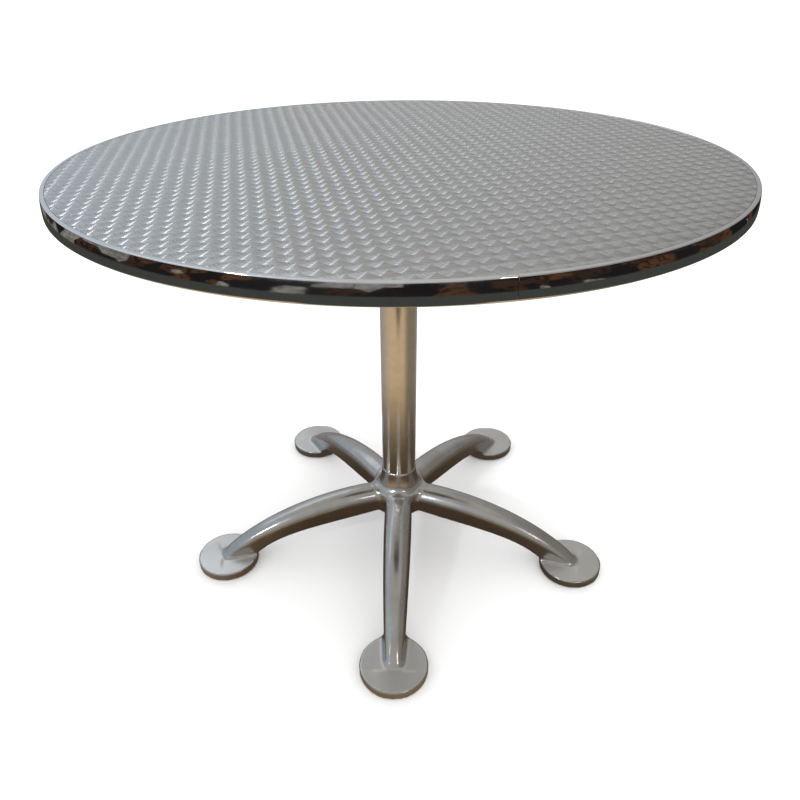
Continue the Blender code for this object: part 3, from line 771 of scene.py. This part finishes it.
def field_slope(points, step=0.0001):
    """Gradient of the casting's field by central differences."""
    slope = np.empty_like(points)
    for axis in range(3):
        shift = np.zeros(3)
        shift[axis] = step
        slope[:, axis] = (casting_field(points + shift) - casting_field(points - shift)) / (2 * step)
    return slope


def make_base(look):
    """One-piece casting: an even mesh drawn onto the smooth field of hub, legs and discs."""
    source = bpy.data.objects.new("star_base_source", NODES["base_casting"].data.copy())
    bpy.context.collection.objects.link(source)
    remesh = source.modifiers.new("even_mesh", "REMESH")
    remesh.mode = "VOXEL"
    remesh.voxel_size = CASTING_VOXEL
    shape = source.evaluated_get(bpy.context.evaluated_depsgraph_get())
    mesh = bpy.data.meshes.new_from_object(shape)
    bpy.data.objects.remove(source)
    mesh.name = "star_base"
    points = np.empty(len(mesh.vertices) * 3)
    mesh.vertices.foreach_get("co", points)
    points = points.reshape(-1, 3)
    pairs = np.empty(len(mesh.edges) * 2, dtype=np.int32)
    mesh.edges.foreach_get("vertices", pairs)
    first, second = pairs.reshape(-1, 2).T
    count = np.bincount(pairs, minlength=len(points))[:, None]
    for turn in range(CASTING_PASSES):
        if turn < CASTING_PASSES - 4:
            total = np.zeros_like(points)
            np.add.at(total, first, points[second])
            np.add.at(total, second, points[first])
            points += 0.5 * (total / count - points)
        slope = field_slope(points)
        steep = np.clip((slope ** 2).sum(1), 0.04, None)
        move = -casting_field(points)[:, None] * slope / steep[:, None]
        size = np.linalg.norm(move, axis=1)[:, None]
        points += move * np.clip(CASTING_VOXEL / (size + 1e-9), None, 1.0)
    mesh.vertices.foreach_set("co", points.ravel())
    mesh.update()
    mesh.shade_smooth()
    add_piece("star_base", mesh, TABLE_BODY, look, "polished_cast", "base_casting")


# Levelling glides -----------------------------------------------------------------------------
def make_glides(nylon, zinc):
    """Nylon pads that swivel on threaded stems with a hexagon flange."""
    for index, spot in around(LEG_COUNT, FOOT_CIRCLE):
        low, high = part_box(f"glide_pad_{index}")
        radius = (high.x - low.x) / 2
        top = high.z
        well = PAD_WELL_RADIUS
        outline = [(0.0, low.z)]
        outline += arc((radius - PAD_EDGE, low.z + PAD_EDGE), PAD_EDGE, -90, 0, 4)
        outline += [(radius, top * 0.42), (radius - 0.0006, top * 0.52), (radius * 0.62, top - 0.0004),
                    (radius * 0.58, top), (well + 0.0007, top), (well, top - 0.0006),
                    (well, top - PAD_WELL_DEPTH), (0.0, top - PAD_WELL_DEPTH)]
        mesh = lathe(f"foot_pad_{index}", outline, 96, closed=False, spot=spot)
        add_piece(f"foot_pad_{index}", mesh, f"pad_{index}", nylon, "nylon", f"glide_pad_{index}")
        make_stem(index, spot, top + PAD_GAP, zinc)


def make_stem(index, spot, flange_low, look):
    """Pivot, flange and threaded stem as one closed turning.

    Each level is a height, a reach, whether the section is a hexagon, and how deep the thread is.
    """
    low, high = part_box(f"glide_stem_{index}")
    steps = 48
    flats = STEM_FLATS
    flange_high = flange_low + STEM_FLANGE
    length = high.z - flange_high
    rows = int(length / STEM_PITCH * THREAD_ROWS)
    levels = [(low.z, STEM_PIVOT - 0.0004, False, 0), (low.z + 0.0004, STEM_PIVOT, False, 0),
              (flange_low, STEM_PIVOT, False, 0), (flange_low, flats * HEX_CHAMFER, True, 0),
              (flange_low + FLANGE_CHAMFER, flats, True, 0),
              (flange_high - FLANGE_CHAMFER, flats, True, 0),
              (flange_high, flats * HEX_CHAMFER, True, 0)]
    for row in range(rows + 1):
        cut = min(1.0, row / THREAD_ROWS, (rows - row) / THREAD_ROWS)
        levels.append((flange_high + length * row / rows, STEM_RADIUS, False, cut))
    bm = bmesh.new()
    rings = []
    for height, reach, hexagon, cut in levels:
        ring = []
        for step in range(steps):
            angle = 2 * math.pi * step / steps
            phase = (height / STEM_PITCH - step / steps) % 1.0
            radius = min(reach, hexagon_reach(angle, flats)) if hexagon else reach
            if height > flange_high:
                radius -= STEM_THREAD * ((1 - abs(2 * phase - 1)) * cut + (1 - cut))
            ring.append(bm.verts.new((spot[0] + radius * math.cos(angle),
                                      spot[1] + radius * math.sin(angle), height)))
        rings.append(ring)
    for near, far in zip(rings, rings[1:]):
        for step in range(steps):
            after = (step + 1) % steps
            bm.faces.new((near[step], near[after], far[after], far[step]))
    bm.faces.new(rings[0])
    bm.faces.new(rings[-1])
    mesh = mesh_of(f"foot_stem_{index}", bm, sharp=40)
    add_piece(f"foot_stem_{index}", mesh, f"stem_{index}", look, "zinc_steel", f"glide_stem_{index}")


def dress_frame(looks):
    """Give each CAD node that stays its own material."""
    for name, look in looks.items():
        slots = NODES[name].data.materials
        slots.clear()
        slots.append(look)


# Studio ---------------------------------------------------------------------------------------
def make_camera():
    lens = bpy.data.cameras.new("camera")
    lens.lens = CAMERA_LENS
    lens.shift_x, lens.shift_y = CAMERA_SHIFT
    made = bpy.data.objects.new("camera", lens)
    made.location = CAMERA_PLACE
    made.rotation_euler = [math.radians(part) for part in CAMERA_TURN]
    bpy.context.collection.objects.link(made)
    bpy.context.scene.camera = made


def stage_plane(name, height, look):
    bm = bmesh.new()
    bmesh.ops.create_grid(bm, x_segments=1, y_segments=1, size=STAGE_SIZE)
    mesh = bpy.data.meshes.new(name)
    bm.to_mesh(mesh)
    bm.free()
    mesh.materials.append(look)
    made = bpy.data.objects.new(name, mesh)
    made.location.z = height
    bpy.context.collection.objects.link(made)
    return made


def room_things(s, way, level):
    """Dark and brown furniture with a few pale patches, by direction and by height."""
    upright = s.node("ShaderNodeCombineXYZ")
    s.put(upright.inputs[2], s.math("MULTIPLY", level, ROOM_CELL_HEIGHT))
    cells = s.node("ShaderNodeTexVoronoi", distance="CHEBYCHEV")
    where = s.vector("ADD", s.vector("MULTIPLY", way, (1.0, 1.0, 0.0)), upright.outputs[0])
    s.put(cells.inputs["Vector"], where)
    cells.inputs["Scale"].default_value = ROOM_CELLS
    pick = s.vector("DOT_PRODUCT", cells.outputs["Color"], (1.0, 0.0, 0.0))
    things = s.blend(s.spread(pick, 0.36, 0.66, 0.0, 1.0), (0.012, 0.011, 0.012), (0.078, 0.036, 0.017))
    busy = s.noise(26.0, 3.0, 0.6, vector=where)
    things = s.blend(s.spread(busy, 0.50, 0.58, 0.0, 1.0), things, (0.014, 0.011, 0.010))
    pale = s.blend(s.spread(busy, 0.40, 0.60, 0.0, 1.0), (0.13, 0.115, 0.095), (0.25, 0.24, 0.22))
    return s.blend(s.spread(pick, 0.82, 0.83, 0.0, 1.0), things, pale)


def make_floor():
    """Plain white floor for the eye; polished metal mirrors a warm studio floor instead."""
    s = Shader("floor_paint", (0.90, 0.90, 0.90), 0.85, 0.0)
    s.put(s.surface.inputs["Specular IOR Level"], 0.1)
    floor = stage_plane("floor", 0.0, s.material)
    floor.visible_glossy = False
    mirrored = stage_plane("mirrored_floor", MIRRORED_FLOOR_HEIGHT, warm_floor_glow())
    mirrored.visible_camera = False
    mirrored.visible_diffuse = False
    mirrored.visible_shadow = False
    mirrored.visible_transmission = False


def warm_floor_glow():
    """What metal sees below it: tan round the table, then dark grey, then a room's furniture."""
    s = Shader("warm_floor_glow", (0.0, 0.0, 0.0), 1.0, 0.0)
    reach = s.vector("LENGTH", s.place)
    way = s.vector("NORMALIZE", s.place)
    ahead = s.vector("DOT_PRODUCT", way, (0.0, -1.0, 0.0))
    aside = s.vector("DOT_PRODUCT", way, (1.0, 0.0, 0.0))
    front = s.spread(ahead, -0.6, 0.8, 0.0, 1.0, smooth=True)
    tan = s.blend(front, (0.34, 0.31, 0.29), (0.58, 0.43, 0.25))
    tan = s.blend(s.spread(aside, 0.45, 0.95, 0.0, 1.0, smooth=True), tan, (0.22, 0.18, 0.12))
    tan = s.blend(s.spread(reach, 0.66, 0.20, 0.0, 1.0, smooth=True), tan, (0.085, 0.055, 0.032))
    wedge = s.math("SUBTRACT", 1.75, s.spread(ahead, 0.90, 1.0, 0.0, 0.72))
    dark = s.spread(s.math("SUBTRACT", reach, wedge), -0.06, 0.12, 0.0, 1.0, smooth=True)
    glow = s.blend(dark, tan, (0.050, 0.053, 0.047))
    level = s.math("DIVIDE", -BAND_HEIGHT, reach)
    far = s.spread(level, -0.235, -0.215, 0.0, 1.0, smooth=True)
    glow = s.blend(far, glow, room_things(s, way, level))
    s.put(s.surface.inputs["Emission Color"], glow)
    s.put(s.surface.inputs["Emission Strength"], 1.0)
    s.put(s.surface.inputs["Specular IOR Level"], 0.0)
    return s.material


def make_lamp(name, place, aim, size, power, colour, spread):
    """Soft square lamp that the camera doesn't see, with its beam's spread in degrees."""
    light = bpy.data.lights.new(name, "AREA")
    light.shape = "SQUARE"
    light.size = size
    light.energy = power
    light.color = colour
    light.spread = math.radians(spread)
    made = bpy.data.objects.new(name, light)
    made.location = place
    made.rotation_euler = (Vector(place) - Vector(aim)).to_track_quat("Z", "Y").to_euler()
    made.visible_camera = False
    bpy.context.collection.objects.link(made)


def make_world():
    """White studio for the eye; metal mirrors a soft room, cool to the left, with a window behind."""
    world = bpy.data.worlds.new("studio")
    world.use_nodes = True
    bpy.context.scene.world = world
    world.node_tree.nodes.clear()
    s = Nodes(world.node_tree, "Generated")
    way = s.place
    up = s.vector("DOT_PRODUCT", way, (0.0, 0.0, 1.0))
    aside = s.vector("DOT_PRODUCT", way, (1.0, 0.0, 0.0))
    behind = s.vector("DOT_PRODUCT", way, (0.0, 1.0, 0.0))
    high = s.spread(up, 0.20, 0.62, 0.0, 1.0, smooth=True)
    wall = s.blend(high, (0.47, 0.49, 0.51), (0.54, 0.525, 0.505))
    cool = s.blend(s.spread(aside, -0.10, -0.75, 0.0, 1.0, smooth=True), wall, (0.51, 0.58, 0.66))
    wall = s.blend(s.spread(aside, 0.0, 0.8, 0.0, 1.0, smooth=True), cool, (0.29, 0.28, 0.265))
    pane = s.math("MULTIPLY", s.spread(aside, -0.10, -0.20, 0.0, 1.0, smooth=True),
                  s.spread(up, 0.52, 0.62, 0.0, 1.0, smooth=True))
    pane = s.math("MULTIPLY", pane, s.spread(behind, 0.25, 0.40, 0.0, 1.0, smooth=True))
    room = s.blend(pane, wall, (0.98, 1.05, 1.12))
    seen = s.node("ShaderNodeBackground")
    seen.inputs["Color"].default_value = (1.0, 1.0, 1.0, 1.0)
    seen.inputs["Strength"].default_value = 1.5
    mirrored = s.node("ShaderNodeBackground")
    s.put(mirrored.inputs["Color"], room)
    pick_world = s.node("ShaderNodeMixShader")
    s.put(pick_world.inputs[0], s.node("ShaderNodeLightPath").outputs["Is Glossy Ray"])
    s.put(pick_world.inputs[1], seen.outputs[0])
    s.put(pick_world.inputs[2], mirrored.outputs[0])
    s.put(s.node("ShaderNodeOutputWorld").inputs[0], pick_world.outputs[0])


def make_studio():
    make_world()
    make_floor()
    make_lamp("window", **WINDOW_LAMP)
    make_lamp("side_lamp", **SIDE_LAMP)
    bpy.context.scene.view_settings.view_transform = "Standard"


def main():
    make_camera()
    make_studio()
    zinc = plated_steel()
    nylon = matt_coat("moulded_nylon", (0.030, 0.030, 0.033), (0.07, 0.07, 0.07), 0.5, 700.0, 0.35)
    powder = matt_coat("powder_coat", (0.035, 0.035, 0.036), (0.06, 0.058, 0.055), 0.45, 420.0, 0.6)
    laminate = matt_coat("backing_laminate", (0.49, 0.48, 0.46), (0.43, 0.42, 0.40), 0.58, 1300.0, 0.25)
    aluminium = turned_aluminium()
    make_sheet(swirl_steel())
    make_band(polished_metal("polished_band", (0.86, 0.87, 0.88), 0.03, (1.0, 1.0, 12.0), depth=0.02))
    make_column(polished_metal("polished_tube", (0.84, 0.82, 0.79), 0.16, (6.0, 6.0, 0.3)))
    make_plate(powder)
    make_screws(zinc)
    make_tie_rod(zinc)
    make_nut("upper_nut", "top_nut", zinc)
    make_nut("lower_nut", "base_nut", zinc)
    make_base(polished_casting())
    make_glides(nylon, zinc)
    dress_frame({"top_core": particle_board(), "backing_sheet": laminate, "band_joiner": aluminium,
                 "column_plug": aluminium, "top_washer": zinc, "base_washer": zinc})


main()
